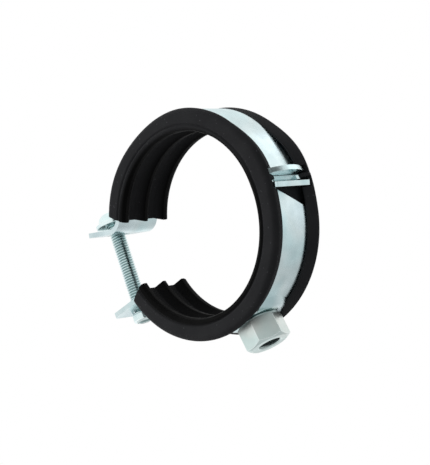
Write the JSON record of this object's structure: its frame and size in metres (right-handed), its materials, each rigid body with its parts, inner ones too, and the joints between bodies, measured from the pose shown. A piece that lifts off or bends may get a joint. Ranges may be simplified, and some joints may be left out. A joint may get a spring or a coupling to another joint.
{
  "type": "rubber lined pipe clamp",
  "caption": "Two-part steel band clamp with a ribbed rubber lining, a hook hinge on one side, a closing screw on the other and a hexagon connection nut for a threaded rod underneath.",
  "frame": {"origin": "on the axis of the seat in the lower half of the lining, which is the pipe's axis, at mid-width", "axes": "+Y along the pipe, -Z through the connection nut and out of its bore, closing screw towards -X, hook hinge towards +X"},
  "size_m": [0.0798, 0.0206, 0.0748],
  "materials": {
    "zinc_steel": "bright zinc plating, slightly bluish",
    "zinc_nut": "satin zinc plating",
    "zinc_screw": "zinc plated thread",
    "black_rubber": "matt extruded rubber"
  },
  "bodies": {
    "lower_half": {"lower_band": "zinc_steel", "rubber_lining": "black_rubber", "connection_nut": "zinc_nut", "closing_nut": "zinc_screw"},
    "upper_half": {"upper_band": "zinc_steel"},
    "screw_carriage": {"closing_washer": "zinc_screw"},
    "screw": {"closing_screw": "zinc_screw"}
  },
  "joints": [
    {"name": "screw_advance", "type": "slide", "parent": "lower_half", "child": "screw_carriage", "axis": [-0.1702, 0, -0.9854], "range_m": [0, 0.0201]},
    {"name": "screw_turn", "type": "hinge", "parent": "screw_carriage", "child": "screw", "pos_m": [-0.03504, 0, 0.02266], "axis": [-0.1702, 0, -0.9854], "range_deg": [0, 9000]},
    {"name": "upper_swing", "type": "hinge", "parent": "lower_half", "child": "upper_half", "pos_m": [0.03118, 0, -0.00337], "axis": [0, 1, 0], "range_deg": [-15.12, 0], "deforming": ["rubber_lining"]}
  ],
  "couplings": [
    {"joint": "screw_turn", "follows": "upper_swing", "ratio": -595.2},
    {"joint": "screw_advance", "follows": "upper_swing", "m_per_rad": -0.075783}
  ]
}
